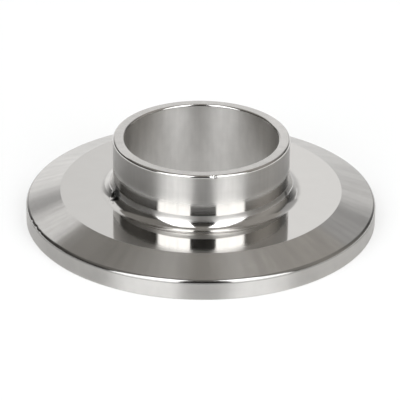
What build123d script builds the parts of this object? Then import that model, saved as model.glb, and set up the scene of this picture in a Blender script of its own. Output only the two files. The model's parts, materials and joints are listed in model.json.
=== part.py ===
# Sanitary clamp ferrule: a short weld ferrule, turned in one piece from stainless steel bar.
#
# A tube stub for butt welding stands on a round flange. The back of the flange is a shallow
# cone that a two-piece clamp pulls on, with a flat land inside it, and the face of the flange
# holds the half-round groove of a moulded gasket.
#
# Frame, in millimetres: the origin is on the bore's axis, in the plane of the sealing face,
# and +Z runs along the bore to the weld end. The ferrule rests on its sealing face.

from build123d import *
import os
from math import radians, sqrt, tan

# Tube stub
tube_diameter = 25.4  # outside of the 1 in tube that is welded on
tube_wall = 1.65  # wall of that tube
overall_length = 12.7  # from the sealing face to the weld end
hub_radius = 1.8  # fillet in the corner between the tube and the land

# Clamp flange
flange_diameter = 50.5
rim_thickness = 2.85  # straight rim, measured before its edges are rounded
clamp_angle = 20.0  # slope of the clamp cone, in degrees from the flange's plane
clamp_width = 4.95  # clamp cone, measured along the radius
rim_edge_radius = 0.6  # round from the rim to the clamp cone

# Sealing face
groove_inset = 3.45  # from the rim to the middle of the gasket groove
groove_radius = 2.34  # round section of the groove
groove_depth = 1.6

# Edges broken at 45 degrees
weld_edge_break = 0.3  # outer edge of the weld end
weld_bore_break = 0.25  # bore's edge at the weld end
seal_bore_break = 0.1  # bore's edge at the sealing face
rim_face_break = 0.2  # from the rim to the sealing face
groove_lip_break = 0.1  # both edges of the groove

# Places that follow from those sizes
tube_radius = tube_diameter / 2
bore_radius = tube_radius - tube_wall
flange_radius = flange_diameter / 2
land_radius = flange_radius - clamp_width
land_height = rim_thickness + clamp_width * tan(radians(clamp_angle))
groove_middle = flange_radius - groove_inset
groove_centre_height = groove_depth - groove_radius
groove_half_width = sqrt(groove_radius**2 - groove_centre_height**2)

# Corners of the turned section: distance from the axis, height, size of the round or break
rounded_corners = [
    (tube_radius, land_height, hub_radius),
    (flange_radius, rim_thickness, rim_edge_radius),
]
broken_corners = [
    (tube_radius, overall_length, weld_edge_break),
    (bore_radius, overall_length, weld_bore_break),
    (bore_radius, 0, seal_bore_break),
    (flange_radius, 0, rim_face_break),
    (groove_middle + groove_half_width, 0, groove_lip_break),
    (groove_middle - groove_half_width, 0, groove_lip_break),
]

with BuildPart() as ferrule:
    with BuildSketch(Plane.XZ) as section:
        with BuildLine():
            Polyline(
                (bore_radius, 0),
                (flange_radius, 0),
                (flange_radius, rim_thickness),
                (land_radius, land_height),
                (tube_radius, land_height),
                (tube_radius, overall_length),
                (bore_radius, overall_length),
                close=True,
            )
        make_face()
        with Locations((groove_middle, groove_centre_height)):
            Circle(groove_radius, mode=Mode.SUBTRACT)
        for distance, height, size in rounded_corners:
            corner = section.vertices().sort_by_distance((distance, height))[0]
            fillet(corner, radius=size)
        for distance, height, size in broken_corners:
            corner = section.vertices().sort_by_distance((distance, height))[0]
            chamfer(corner, length=size)
    revolve(axis=Axis.Z)

ferrule.part.label = "ferrule"

os.makedirs("parts", exist_ok=True)
export_step(ferrule.part, "parts/ferrule.step")
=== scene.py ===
# The sanitary clamp ferrule in a small studio. Everything is in metres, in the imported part's
# frame: the sealing face lies on the floor at z = 0 and +Z runs along the bore.
import json
from collections import namedtuple
from math import atan2, cos, pi, radians, sin, sqrt, tan

import bpy
from mathutils import Matrix, Vector


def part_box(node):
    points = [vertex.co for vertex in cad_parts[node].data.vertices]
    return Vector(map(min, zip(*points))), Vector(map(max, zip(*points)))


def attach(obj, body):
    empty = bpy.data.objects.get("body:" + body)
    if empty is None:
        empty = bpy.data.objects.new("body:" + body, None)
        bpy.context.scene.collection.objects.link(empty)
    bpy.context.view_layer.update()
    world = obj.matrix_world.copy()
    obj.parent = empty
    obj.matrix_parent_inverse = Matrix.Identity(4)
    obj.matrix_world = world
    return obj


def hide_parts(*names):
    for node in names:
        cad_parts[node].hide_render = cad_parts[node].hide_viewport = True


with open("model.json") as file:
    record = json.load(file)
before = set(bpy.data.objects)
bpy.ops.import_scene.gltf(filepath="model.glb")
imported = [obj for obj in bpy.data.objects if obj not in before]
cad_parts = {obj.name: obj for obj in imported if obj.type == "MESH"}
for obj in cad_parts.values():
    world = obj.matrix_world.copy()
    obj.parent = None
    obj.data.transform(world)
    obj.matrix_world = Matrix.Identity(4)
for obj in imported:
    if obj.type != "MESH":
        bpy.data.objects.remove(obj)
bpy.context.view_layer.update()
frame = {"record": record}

MM = 0.001

# ---------------------------------------------------------------------------------------------
# Sizes of the turned section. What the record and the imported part's box state is read from them.
# ---------------------------------------------------------------------------------------------
mounts = {mount["name"]: mount["dims"] for mount in frame["record"]["mounts"]}
_, ferrule_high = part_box("ferrule")

OVERALL_LENGTH = ferrule_high.z
BORE_RADIUS = mounts["tube_bore"]["r_mm"] * MM
TUBE_RADIUS = mounts["weld_end"]["r_mm"] * MM
FLANGE_RADIUS = mounts["clamp_rim"]["r_mm"] * MM

RIM_THICKNESS = 2.85 * MM
CLAMP_ANGLE = radians(20)
CLAMP_WIDTH = 4.95 * MM
LAND_RADIUS = FLANGE_RADIUS - CLAMP_WIDTH
LAND_HEIGHT = RIM_THICKNESS + CLAMP_WIDTH * tan(CLAMP_ANGLE)

HUB_ROUND = 1.8 * MM
WELD_EDGE_ROUND = 0.35 * MM
WELD_BORE_ROUND = 0.3 * MM
SEAL_BORE_ROUND = 0.12 * MM
RIM_EDGE_ROUND = 0.6 * MM
RIM_FACE_ROUND = 0.22 * MM
LAND_EDGE_ROUND = 0.12 * MM

GROOVE_FROM_EDGE = 3.45 * MM
GROOVE_DEPTH = 1.6 * MM
GROOVE_MIDDLE = FLANGE_RADIUS - GROOVE_FROM_EDGE
GROOVE_RADIUS = 2.34 * MM
GROOVE_CENTRE_HEIGHT = GROOVE_DEPTH - GROOVE_RADIUS
GROOVE_LIP_ROUND = 0.12 * MM

TURNS = 600  # segments round the axis
FINEST_ARC_STEP = 0.03 * MM
FEWEST_ARC_STEPS = 5
MOST_ARC_STEPS = 16
SHORTEST_DIVIDED = 2.0 * MM  # straights from this length up are divided
NEAR_ENDS = (0.15 * MM, 0.35 * MM, 0.65 * MM)  # places of the added points, from each end


# ---------------------------------------------------------------------------------------------
# The turned section, as points with their true normals
# ---------------------------------------------------------------------------------------------
# A point of the section: its place, its normal (out from the axis and up) and its zone.
Point = namedtuple("Point", "radius height out up zone")

ZONES = (
    "seal_face", "groove", "rim", "rim_edge", "cone", "land",
    "hub", "tube", "weld_edge", "weld_face", "bore_edge", "bore",
)
# The face after the last point of a round belongs to the wall or flat that follows it.
ZONE_AFTER = {"rim_edge": "cone", "hub": "tube", "weld_edge": "weld_face", "bore_edge": "bore"}


def arc(centre, radius, start, end, zone, hollow=False):
    """Points on an arc of the section, from one angle to another."""
    steps = round(abs(end - start) * radius / FINEST_ARC_STEP)
    steps = max(FEWEST_ARC_STEPS, min(MOST_ARC_STEPS, steps))
    side = -1 if hollow else 1
    points = []
    for step in range(steps + 1):
        angle = start + (end - start) * step / steps
        out, up = cos(angle), sin(angle)
        points.append(Point(centre[0] + radius * out, centre[1] + radius * up, side * out, side * up, zone))
    return points


def rounded(before, corner, after, radius, zone):
    """The arc that rounds one corner of the section. The metal lies to the left of the outline."""
    before, corner, after = Vector(before), Vector(corner), Vector(after)
    arriving = (corner - before).normalized()
    leaving = (after - corner).normalized()
    turn = atan2(arriving.x * leaving.y - arriving.y * leaving.x, arriving.dot(leaving))
    hollow = turn < 0
    outward = Vector((arriving.y, -arriving.x)) * (-1 if hollow else 1)
    touch = corner - arriving * radius * tan(abs(turn) / 2)
    centre = touch - outward * radius
    start = atan2(outward.y, outward.x)
    return arc(centre, radius, start, start + turn, zone, hollow)


def gasket_groove():
    """The groove in the sealing face, with both of its lips rounded, from the inside out."""
    reach = GROOVE_RADIUS + GROOVE_LIP_ROUND
    rise = GROOVE_LIP_ROUND - GROOVE_CENTRE_HEIGHT
    lip_offset = sqrt(reach**2 - rise**2)
    lip_angle = atan2(rise, lip_offset)
    inner = (GROOVE_MIDDLE - lip_offset, GROOVE_LIP_ROUND)
    outer = (GROOVE_MIDDLE + lip_offset, GROOVE_LIP_ROUND)
    bed = (GROOVE_MIDDLE, GROOVE_CENTRE_HEIGHT)
    return (
        arc(inner, GROOVE_LIP_ROUND, -pi / 2, -lip_angle, "groove")
        + arc(bed, GROOVE_RADIUS, pi - lip_angle, lip_angle, "groove", hollow=True)[1:]
        + arc(outer, GROOVE_LIP_ROUND, pi + lip_angle, 1.5 * pi, "seal_face")[1:]
    )


def turned_section():
    """The closed outline, from the bore's edge at the sealing face out, up and back down the bore."""
    seal_inner = (BORE_RADIUS, 0)
    seal_outer = (FLANGE_RADIUS, 0)
    rim_top = (FLANGE_RADIUS, RIM_THICKNESS)
    land_outer = (LAND_RADIUS, LAND_HEIGHT)
    hub = (TUBE_RADIUS, LAND_HEIGHT)
    weld_outer = (TUBE_RADIUS, OVERALL_LENGTH)
    weld_inner = (BORE_RADIUS, OVERALL_LENGTH)
    return (
        rounded(weld_inner, seal_inner, seal_outer, SEAL_BORE_ROUND, "seal_face")
        + gasket_groove()
        + rounded(seal_inner, seal_outer, rim_top, RIM_FACE_ROUND, "rim")
        + rounded(seal_outer, rim_top, land_outer, RIM_EDGE_ROUND, "rim_edge")
        + rounded(rim_top, land_outer, hub, LAND_EDGE_ROUND, "land")
        + rounded(land_outer, hub, weld_outer, HUB_ROUND, "hub")
        + rounded(hub, weld_outer, weld_inner, WELD_EDGE_ROUND, "weld_edge")
        + rounded(weld_outer, weld_inner, seal_inner, WELD_BORE_ROUND, "bore_edge")
    )


def with_straights_divided(outline):
    """Adds points along the straights, closer together near their ends, so that a dent stays local."""
    divided = []
    for number, point in enumerate(outline):
        divided.append(point)
        after = outline[(number + 1) % len(outline)]
        outward, upward = after.radius - point.radius, after.height - point.height
        length = sqrt(outward**2 + upward**2)
        if length < SHORTEST_DIVIDED:
            continue
        zone = ZONE_AFTER.get(point.zone, point.zone)
        near_start = [distance / length for distance in NEAR_ENDS]
        near_end = [1 - place for place in reversed(near_start)]
        for place in near_start + [0.5] + near_end:
            radius = point.radius + outward * place
            height = point.height + upward * place
            divided.append(Point(radius, height, point.out, point.up, zone))
    return divided


# Knocks and tool marks: bearing in degrees from +X, height, reach from the centre, depth.
DENTS = [
    (278.4, 12.50 * MM, 0.36 * MM, 0.10 * MM),  # nick in the weld end's outer edge
    (276.6, 12.60 * MM, 0.26 * MM, 0.07 * MM),
    (199.0, 5.20 * MM, 0.60 * MM, 0.14 * MM),  # gouge in the hub, with the metal pushed up beside it
    (195.0, 5.45 * MM, 0.40 * MM, -0.05 * MM),
    (212.0, 5.70 * MM, 0.90 * MM, 0.04 * MM),
    (197.0, 2.66 * MM, 0.50 * MM, 0.07 * MM),  # wear along the rim's upper edge
    (201.5, 2.66 * MM, 0.65 * MM, 0.09 * MM),
    (205.5, 2.64 * MM, 0.50 * MM, 0.06 * MM),
    (219.0, 2.62 * MM, 0.50 * MM, 0.04 * MM),
]

# Dents lie on the outside: clear of the bore, and not where the groove faces the axis.
FACING_IN = -0.1
CLEAR_OF_BORE = BORE_RADIUS + 1 * MM


def dent_places(section):
    """Each dent's centre on the turned surface, with its reach and depth."""
    outer = [point for point in section if point.out > FACING_IN and point.radius > CLEAR_OF_BORE]
    centres = []
    for bearing, height, reach, depth in DENTS:
        angle = radians(bearing)
        radius = min(outer, key=lambda point: abs(point.height - height)).radius
        centres.append((Vector((radius * cos(angle), radius * sin(angle), height)), reach, depth))
    return centres


def dent(places, normals, centres):
    """Pushes the surface in at each dent. Gives the numbers of the points that moved."""
    moved = set()
    for centre, reach, depth in centres:
        for number, (place, normal) in enumerate(zip(places, normals)):
            away = (place - centre).length / reach
            if away < 1:
                places[number] = place - normal * depth * (1 - away**2) ** 2
                moved.add(number)
    return moved


def turned_points(section):
    """The places and normals of the section's points, all the way round the axis."""
    places, normals = [], []
    for turn in range(TURNS):
        angle = 2 * pi * turn / TURNS
        east, north = cos(angle), sin(angle)
        for point in section:
            places.append(Vector((point.radius * east, point.radius * north, point.height)))
            normals.append(Vector((point.out * east, point.out * north, point.up)))
    return places, normals


def turned_faces(section):
    """The faces from each turn to the next, and the number of each face's zone."""
    count = len(section)
    faces, zones = [], []
    for turn in range(TURNS):
        here, there = turn * count, (turn + 1) % TURNS * count
        for step in range(count):
            after = (step + 1) % count
            faces.append((here + step, there + step, there + after, here + after))
            zone = section[step].zone
            if zone != section[after].zone:
                zone = ZONE_AFTER.get(zone, zone)
            zones.append(ZONES.index(zone))
    return faces, zones


def normal_at(places, number, count):
    """The normal of one point from its four neighbours, count being the points of the section."""
    turn, step = divmod(number, count)
    next_turn, last_turn = (turn + 1) % TURNS * count, (turn - 1) % TURNS * count
    round_axis = places[next_turn + step] - places[last_turn + step]
    outline = places[turn * count + (step + 1) % count] - places[turn * count + (step - 1) % count]
    return round_axis.cross(outline).normalized()


def lathe(name, section, materials):
    """Turns the section about Z into one closed mesh with the section's own normals, then dents it."""
    places, normals = turned_points(section)
    faces, zones = turned_faces(section)
    for number in dent(places, normals, dent_places(section)):
        normals[number] = normal_at(places, number, len(section))
    mesh = bpy.data.meshes.new(name)
    mesh.from_pydata(places, [], faces)
    for zone in ZONES:
        mesh.materials.append(materials[zone])
    mesh.polygons.foreach_set("material_index", zones)
    mesh.polygons.foreach_set("use_smooth", [True] * len(faces))
    mesh.update()
    mesh.normals_split_custom_set_from_vertices(normals)
    piece = bpy.data.objects.new(name, mesh)
    bpy.context.scene.collection.objects.link(piece)
    return piece


# ---------------------------------------------------------------------------------------------
# Materials
# ---------------------------------------------------------------------------------------------
# The range of a noise texture that is used. What lies outside it is clipped.
MOST_NOISE = (0.25, 0.75)
MIDDLE_NOISE = (0.3, 0.7)


class Nodes:
    """A few short forms for building one node tree."""

    def __init__(self, owner):
        owner.use_nodes = True
        self.tree = owner.node_tree
        self.tree.nodes.clear()

    def add(self, kind, **settings):
        node = self.tree.nodes.new(kind)
        for key, value in settings.items():
            setattr(node, key, value)
        return node

    def link(self, source, target):
        self.tree.links.new(source, target)

    def feed(self, socket, value):
        if isinstance(value, bpy.types.NodeSocket):
            self.link(value, socket)
        else:
            socket.default_value = value

    def math(self, operation, first, second=0.0):
        node = self.add("ShaderNodeMath", operation=operation)
        for socket, value in zip(node.inputs, (first, second)):
            self.feed(socket, value)
        return node.outputs[0]

    def noise(self, place, scale, detail):
        noise = self.add("ShaderNodeTexNoise")
        self.link(place, noise.inputs["Vector"])
        noise.inputs["Scale"].default_value = scale
        noise.inputs["Detail"].default_value = detail
        noise.inputs["Roughness"].default_value = 0.5
        return noise.outputs["Fac"]

    def ragged_patch(self, place, centre, reach):
        """1 round a centre, falling to 0 at about the reach from it, with an uneven border."""
        distance = self.add("ShaderNodeVectorMath", operation="DISTANCE")
        self.link(place, distance.inputs[0])
        distance.inputs[1].default_value = centre
        uneven = self.noise(place, 2 / reach, 4.0)
        shift = self.map_range(uneven, *MIDDLE_NOISE, -0.5 * reach, 0.5 * reach)
        ragged = self.math("ADD", distance.outputs["Value"], shift)
        return self.map_range(ragged, reach, 0.5 * reach, 0.0, 1.0)

    def seen_or_mirrored(self):
        """1 for camera, glossy and transmission rays and 0 for the rest."""
        path = self.add("ShaderNodeLightPath")
        mirrored = self.math("MAXIMUM", path.outputs["Is Glossy Ray"], path.outputs["Is Transmission Ray"])
        return self.math("MAXIMUM", path.outputs["Is Camera Ray"], mirrored)

    def map_range(self, value, low, high, new_low, new_high):
        node = self.add("ShaderNodeMapRange")
        for socket, number in zip(node.inputs, (value, low, high, new_low, new_high)):
            self.feed(socket, number)
        return node.outputs[0]


STEEL = (0.64, 0.625, 0.605)
BRIGHTER, DARKER = 0.5, -1.0  # the most that the colour may change, as shares of the steel's own
ROUGHNESS_SPREAD = 0.08  # how far the turning marks move the roughness, as a share
MICROMETRE = 1e-6

# Noise on the turned surface: how fast it changes round the axis, its spacing in millimetres
# along the cutting pass, and its detail. The turning marks' spacing is each material's own.
MARKS_ROUND, MARKS_DETAIL = 0.7, 2.0
PATCHES = (9.0, 2.6, 4.0)
WIPES = (26.0, 9.0, 3.0)


class TurnedSurface:
    """Places on the ferrule, by radius, bearing and height, for the noise of a turned finish."""

    def __init__(self, nodes, across):
        self.nodes = nodes
        self.place = nodes.add("ShaderNodeTexCoord").outputs["Object"]
        split = nodes.add("ShaderNodeSeparateXYZ")
        nodes.link(self.place, split.inputs[0])
        east, north, self.height = split.outputs
        squares = nodes.math("ADD", nodes.math("POWER", east, 2.0), nodes.math("POWER", north, 2.0))
        radius = nodes.math("SQRT", squares)
        self.bearing = (nodes.math("DIVIDE", east, radius), nodes.math("DIVIDE", north, radius))
        self.along = radius if across == "radius" else self.height

    def noise(self, round_axis, spacing, detail):
        """Noise with its own rate of change round the axis and spacing along the cutting pass."""
        place = self.nodes.add("ShaderNodeCombineXYZ")
        for socket, part in zip(place.inputs, self.bearing):
            self.nodes.link(self.nodes.math("MULTIPLY", part, round_axis), socket)
        self.nodes.link(self.nodes.math("MULTIPLY", self.along, 1 / (spacing * MM)), place.inputs[2])
        return self.nodes.noise(place.outputs[0], 1.0, detail)


def steel_colour(nodes, surface, mottle, streaks, painted_shade, dark_marks):
    """The steel's colour with its patches, wiping marks and dark marks, and its painted shade."""
    patches = nodes.map_range(surface.noise(*PATCHES), *MOST_NOISE, -mottle, mottle)
    wipes = nodes.map_range(surface.noise(*WIPES), *MIDDLE_NOISE, -streaks, streaks)
    change = nodes.math("ADD", patches, wipes)
    # Each dark mark takes a share off the colour; the one on the hub's right is painted shade.
    for centre, reach, share in dark_marks:
        dark_mark = nodes.math("MULTIPLY", nodes.ragged_patch(surface.place, centre, reach), share)
        change = nodes.math("SUBTRACT", change, dark_mark)
    tint = nodes.add("ShaderNodeMix", data_type="RGBA")
    nodes.link(nodes.map_range(change, DARKER, BRIGHTER, 0.0, 1.0), tint.inputs["Factor"])
    # The painted shade darkens both ends of the colour's range.
    tint.inputs["A"].default_value = [c * painted_shade * (1 + DARKER) for c in STEEL] + [1]
    tint.inputs["B"].default_value = [c * painted_shade * (1 + BRIGHTER) for c in STEEL] + [1]
    return tint.outputs["Result"]


def steel_roughness(nodes, surface, fine, roughness, fade):
    """The roughness with its turning marks, going to a second value between two heights."""
    if fade:
        low, high, rough_above = fade
        roughness = nodes.map_range(surface.height, low * MM, high * MM, roughness, rough_above)
    spread = nodes.map_range(fine, *MOST_NOISE, 1 - ROUGHNESS_SPREAD, 1 + ROUGHNESS_SPREAD)
    return nodes.math("MULTIPLY", roughness, spread)


def turned_steel(name, roughness, anisotropy, across="radius", marks=0.15, depth=0.4, mottle=0.06,
                 streaks=0.0, fade=None, painted_shade=1.0, dark_marks=()):
    """Stainless steel with turning marks that run round the axis.

    across says which way a cutting pass moved: along the radius on a face, along z on a wall.
    marks is the spacing of the marks in millimetres and depth their height in micrometres.
    mottle and streaks are the shares by which patches and crosswise wiping marks change the colour.
    fade gives the heights, in millimetres, between which the roughness goes to a second value.
    The painted shade, below 1, darkens the steel's whole colour; it stands in for a dark reflection along
    the rim's edge and for shade in the bore.
    The dark marks are ragged patches darker than the steel: (place, reach, share of the colour that they
    take).
    """
    material = bpy.data.materials.new(name)
    nodes = Nodes(material)
    surface = TurnedSurface(nodes, across)
    fine = surface.noise(MARKS_ROUND, marks, MARKS_DETAIL)

    shader = nodes.add("ShaderNodeBsdfPrincipled")
    shader.inputs["Metallic"].default_value = 1.0
    shader.inputs["Anisotropic"].default_value = anisotropy
    shader.inputs["Anisotropic Rotation"].default_value = 0.25  # highlights stretch across the marks
    colour = steel_colour(nodes, surface, mottle, streaks, painted_shade, dark_marks)
    nodes.link(colour, shader.inputs["Base Color"])
    nodes.link(steel_roughness(nodes, surface, fine, roughness, fade), shader.inputs["Roughness"])

    tangent = nodes.add("ShaderNodeTangent", direction_type="RADIAL", axis="Z")
    nodes.link(tangent.outputs[0], shader.inputs["Tangent"])
    bump = nodes.add("ShaderNodeBump")
    bump.inputs["Strength"].default_value = 1.0
    bump.inputs["Distance"].default_value = depth * MICROMETRE
    nodes.link(fine, bump.inputs["Height"])
    nodes.link(bump.outputs[0], shader.inputs["Normal"])

    out = nodes.add("ShaderNodeOutputMaterial")
    nodes.link(shader.outputs[0], out.inputs["Surface"])
    return material


def on_hub(bearing, height):
    """The place on the hub's round at a bearing in degrees and a height."""
    rise = LAND_HEIGHT + HUB_ROUND - height
    radius = TUBE_RADIUS + HUB_ROUND - sqrt(HUB_ROUND**2 - rise**2)
    return (radius * cos(radians(bearing)), radius * sin(radians(bearing)), height)


# Dark marks in the hub's colour, placed as the camera sees them: one at the gouge on the hub's left, and on
# its right a painted shade where the hub looks dented.
HUB_DARK_MARKS = [
    (on_hub(201.0, 5.6 * MM), 1.3 * MM, 0.9),
    (on_hub(341.0, 5.7 * MM), 0.7 * MM, 0.6),
]

# Each zone's finish: roughness, anisotropy, and the way a cutting pass moved, then its details.
materials = {
    "seal_face": turned_steel("sealing_face_steel", 0.28, 0.8, "radius", marks=0.12, depth=0.6),
    "groove": turned_steel("groove_steel", 0.3, 0.8, "radius", marks=0.12, depth=0.6),
    "rim": turned_steel("rim_steel", 0.4, 1.0, "z", marks=0.25, depth=0.5, mottle=0.05, streaks=0.012),
    # The rim's edge is darkened with painted shade, standing in for the dark that its round mirrors.
    "rim_edge": turned_steel(
        "rim_edge_steel", 0.55, 0.9, "z", marks=0.3, depth=0.05, fade=(2.45, 2.65, 0.16), painted_shade=0.7
    ),
    "cone": turned_steel(
        "cone_steel", 0.2, 1.0, "radius", marks=0.15, depth=0.3, mottle=0.03, streaks=0.05
    ),
    "land": turned_steel("land_steel", 0.06, 0.5, "radius", marks=0.5, depth=0.004, mottle=0.012),
    "hub": turned_steel(
        "hub_steel", 0.1, 1.0, "radius", marks=0.4, depth=0.02, mottle=0.05, fade=(5.4, 6.05, 0.5),
        dark_marks=HUB_DARK_MARKS,
    ),
    "tube": turned_steel(
        "tube_steel", 0.14, 1.0, "z", marks=0.25, depth=0.06, mottle=0.04, streaks=0.03,
        fade=(7.9, 9.1, 0.49),
    ),
    "weld_edge": turned_steel("weld_edge_steel", 0.12, 0.5, "z", marks=0.3, depth=0.05),
    "weld_face": turned_steel("weld_face_steel", 0.24, 0.8, "radius", marks=0.15, depth=0.3),
    "bore_edge": turned_steel("bore_edge_steel", 0.14, 0.5, "z", marks=0.3, depth=0.05),
    # The bore is darkened a little with painted shade.
    "bore": turned_steel(
        "bore_steel", 0.44, 0.85, "z", marks=0.2, depth=0.4, mottle=0.07, streaks=0.02, painted_shade=0.95
    ),
}

ferrule = lathe("ferrule_steel", with_straights_divided(turned_section()), materials)
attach(ferrule, "root")
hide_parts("ferrule")


# ---------------------------------------------------------------------------------------------
# Studio: a pale floor, two tall softboxes either side of the camera, and the walls that the
# steel mirrors. Azimuth 0 is the camera's side, positive to its right; both angles in degrees.
# ---------------------------------------------------------------------------------------------
def direction(azimuth, elevation=0.0):
    """The unit vector from the ferrule towards a place in the studio."""
    a, e = radians(azimuth), radians(elevation)
    return Vector((sin(a) * cos(e), -cos(a) * cos(e), sin(e)))


WARM = (1.0, 0.96, 0.9)
WHITE = (1.0, 1.0, 1.0)
DAYLIGHT = (0.97, 0.985, 1.0)

SOFTBOX_LEVEL = 2.65  # radiance, where 1 is white
SOFTBOX_DISTANCE = 1.0
SOFTBOX_HEIGHTS = (0.14, 2.3)
TOP_ELEVATIONS = (60, 76)
LEFT_BOX = (-57, -13.5)  # azimuths of its two sides
RIGHT_BOX = (20, 58.5)

# All bands stand behind the softboxes, and where two of them overlap the nearer one shows.
TOP_DISTANCE, WALL_DISTANCE, CEILING_LOW_DISTANCE, CEILING_DISTANCE = 2.7, 2.8, 2.85, 2.9
WALL_COLUMNS, WALL_ROWS = 160, 12


def glow_material(name, tint):
    """Gives off what the mesh's own glow attribute says, in the given tint."""
    material = bpy.data.materials.new(name)
    nodes = Nodes(material)
    level = nodes.add("ShaderNodeAttribute", attribute_name="glow")
    glow = nodes.add("ShaderNodeEmission")
    glow.inputs["Color"].default_value = (*tint, 1)
    nodes.link(level.outputs["Fac"], glow.inputs["Strength"])
    out = nodes.add("ShaderNodeOutputMaterial")
    nodes.link(glow.outputs[0], out.inputs["Surface"])
    return material


def between(stops, place):
    """The level at a place, on straight lines between (place, level) stops."""
    for (start, first), (end, last) in zip(stops, stops[1:]):
        if place <= end:
            return first + (last - first) * (place - start) / (end - start)
    return stops[-1][1]


def wall(name, elevations, stops, distance=WALL_DISTANCE, tint=WARM):
    """A band of the studio that only the steel's reflections see. stops are (azimuth, radiance)."""
    first, last = stops[0][0], stops[-1][0]
    places, levels = [], []
    for row in range(WALL_ROWS + 1):
        elevation = elevations[0] + (elevations[1] - elevations[0]) * row / WALL_ROWS
        for column in range(WALL_COLUMNS + 1):
            azimuth = first + (last - first) * column / WALL_COLUMNS
            places.append(direction(azimuth, elevation) * distance)
            levels.append(between(stops, azimuth))
    faces = []
    for row in range(WALL_ROWS):
        for column in range(WALL_COLUMNS):
            here = row * (WALL_COLUMNS + 1) + column
            above = here + WALL_COLUMNS + 1
            faces.append((here, here + 1, above + 1, above))
    mesh = bpy.data.meshes.new(name)
    mesh.from_pydata(places, [], faces)
    mesh.attributes.new("glow", "FLOAT", "POINT").data.foreach_set("value", levels)
    mesh.materials.append(glow_material(name, tint))
    band = bpy.data.objects.new(name, mesh)
    bpy.context.scene.collection.objects.link(band)
    for ray in ("camera", "diffuse", "transmission", "volume_scatter", "shadow"):
        setattr(band, "visible_" + ray, False)


def softbox(name, azimuths):
    """An upright rectangular lamp of even brightness, facing the ferrule."""
    low, high = SOFTBOX_HEIGHTS
    middle = sum(azimuths) / 2
    half_width = SOFTBOX_DISTANCE * tan(radians(abs(azimuths[1] - azimuths[0]) / 2))
    lamp = bpy.data.lights.new(name, "AREA")
    lamp.shape = "RECTANGLE"
    lamp.size = 2 * half_width
    lamp.size_y = high - low
    lamp.energy = SOFTBOX_LEVEL * pi * lamp.size * lamp.size_y
    lamp.color = DAYLIGHT
    box = bpy.data.objects.new(name, lamp)
    box.location = direction(middle) * SOFTBOX_DISTANCE + Vector((0, 0, (low + high) / 2))
    box.rotation_euler = (radians(90), 0, radians(middle))
    box.visible_camera = False
    bpy.context.scene.collection.objects.link(box)


def softbox_top(name, azimuths):
    """The softbox's upper part, leaning in over the ferrule, which only reflections see."""
    stops = [(azimuth, SOFTBOX_LEVEL) for azimuth in azimuths]
    wall(name, TOP_ELEVATIONS, stops, distance=TOP_DISTANCE, tint=DAYLIGHT)


softbox("softbox_left", LEFT_BOX)
softbox("softbox_right", RIGHT_BOX)
softbox_top("softbox_left_top", LEFT_BOX)
softbox_top("softbox_right_top", RIGHT_BOX)

# Each wall: its elevations, then (azimuth, radiance) stops from one end to the other.
wall("side_walls", (0, 43), [
    (-134, 0.04), (-108, 0.085), (-84, 0.085), (-60, 0.05), (-14, 0.02), (16, 0.02),
    (61, 0.2), (80, 0.38), (96, 0.42), (108, 0.34), (120, 0.24), (134, 0.08),
])
wall("camera_side_high", (43, 66), [(-62, 0.07), (62, 0.07)])
wall("back_left_low", (0, 18.5), [(-158, 1.0), (-144, 0.2), (-134, 0.04)], tint=WHITE)
wall("back_left", (18.5, 27), [
    (-180, 0.92), (-176, 0.87), (-166, 0.7), (-156, 0.4), (-144, 0.16), (-134, 0.04),
], tint=WHITE)
wall("back_left_high", (27, 41), [(-180, 0.92), (-172, 0.85), (-160, 0.95), (-134, 0.9)], tint=WHITE)
wall("back_right_low", (0, 18), [
    (134, 0.08), (144, 0.2), (156, 0.65), (166, 0.7), (174, 0.85), (180, 1.0),
], tint=WHITE)
wall("back_right", (18, 29), [
    (134, 0.08), (144, 0.14), (152, 0.3), (155, 0.4), (157.5, 1.1),
    (161, 0.66), (170, 0.85), (176, 1.0), (180, 1.0),
], tint=WHITE)
wall("back_right_high", (29, 41), [
    (134, 0.3), (140, 0.42), (156, 0.45), (170, 0.55), (176, 0.95), (180, 1.0),
], tint=WHITE)
wall("ceiling_low", (41, 66), [
    (62, 0.36), (160, 0.40), (180, 0.35), (200, 0.26), (298, 0.25),
], distance=CEILING_LOW_DISTANCE)
wall("ceiling", (65, 90), [(-180, 0.3), (-90, 0.27), (90, 0.35), (180, 0.3)], distance=CEILING_DISTANCE)


FLOOR_COLOUR = (0.95, 0.95, 0.94)
FLOOR_HALF_WIDTH = 2.5
FLOOR_HEIGHT = -0.02 * MM  # just under the sealing face
FLOOR_WHITE_SHARE = 0.5  # how far the floor goes to plain white where it is seen or mirrored
SKY_LIGHT = 0.62  # the world's strength as a light; it is 1 where it is seen or mirrored


def make_world():
    """A white world where it is seen or mirrored, and a dimmer one as a light."""
    world = bpy.data.worlds.new("studio")
    bpy.context.scene.world = world
    nodes = Nodes(world)
    background = nodes.add("ShaderNodeBackground")
    background.inputs["Color"].default_value = (*WHITE, 1)
    strength = nodes.map_range(nodes.seen_or_mirrored(), 0, 1, SKY_LIGHT, 1.0)
    nodes.link(strength, background.inputs["Strength"])
    out = nodes.add("ShaderNodeOutputWorld")
    nodes.link(background.outputs[0], out.inputs["Surface"])


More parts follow.
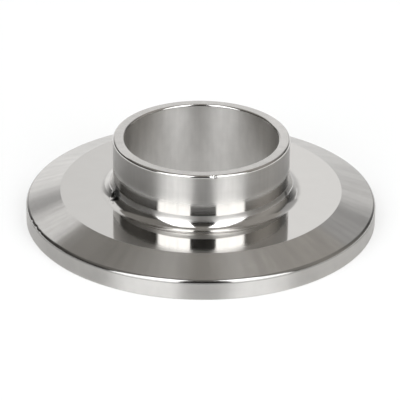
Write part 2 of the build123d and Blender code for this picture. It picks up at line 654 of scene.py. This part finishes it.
def make_floor():
    """A pale matt floor with the ferrule's shadow. All rays that see or mirror it see it alike."""
    corners = [(-1, -1), (1, -1), (1, 1), (-1, 1)]
    places = [(east * FLOOR_HALF_WIDTH, north * FLOOR_HALF_WIDTH, 0) for east, north in corners]
    mesh = bpy.data.meshes.new("floor")
    mesh.from_pydata(places, [], [(0, 1, 2, 3)])
    floor = bpy.data.objects.new("floor", mesh)
    floor.location.z = FLOOR_HEIGHT
    bpy.context.scene.collection.objects.link(floor)
    material = bpy.data.materials.new("pale_floor")
    nodes = Nodes(material)
    matt = nodes.add("ShaderNodeBsdfDiffuse")
    matt.inputs["Color"].default_value = (*FLOOR_COLOUR, 1)
    white = nodes.add("ShaderNodeEmission")
    white.inputs["Color"].default_value = (*WHITE, 1)
    white.inputs["Strength"].default_value = 1.0
    mix = nodes.add("ShaderNodeMixShader")
    nodes.link(nodes.math("MULTIPLY", nodes.seen_or_mirrored(), FLOOR_WHITE_SHARE), mix.inputs["Fac"])
    nodes.link(matt.outputs[0], mix.inputs[1])
    nodes.link(white.outputs[0], mix.inputs[2])
    out = nodes.add("ShaderNodeOutputMaterial")
    nodes.link(mix.outputs[0], out.inputs["Surface"])
    mesh.materials.append(material)


def make_camera():
    """Looks down at the ferrule from in front, with a long lens."""
    aim = Vector((-0.122, 0, 2.594)) * MM
    elevation, roll = radians(26.84), radians(0.605)
    distance = 384.7 * MM
    back = Vector((0, -cos(elevation), sin(elevation)))
    camera = bpy.data.cameras.new("camera")
    camera.sensor_width = 36.0
    camera.lens = 239.2
    camera.clip_start, camera.clip_end = 0.01, 20.0
    holder = bpy.data.objects.new("camera", camera)
    holder.rotation_mode = "QUATERNION"
    upright = (-back).to_track_quat("-Z", "Y").to_matrix()
    holder.rotation_quaternion = (upright @ Matrix.Rotation(roll, 3, "Z")).to_quaternion()
    holder.location = aim + back * distance
    bpy.context.scene.collection.objects.link(holder)
    bpy.context.scene.camera = holder


make_world()
make_floor()
make_camera()

bpy.context.scene.view_settings.view_transform = "Standard"
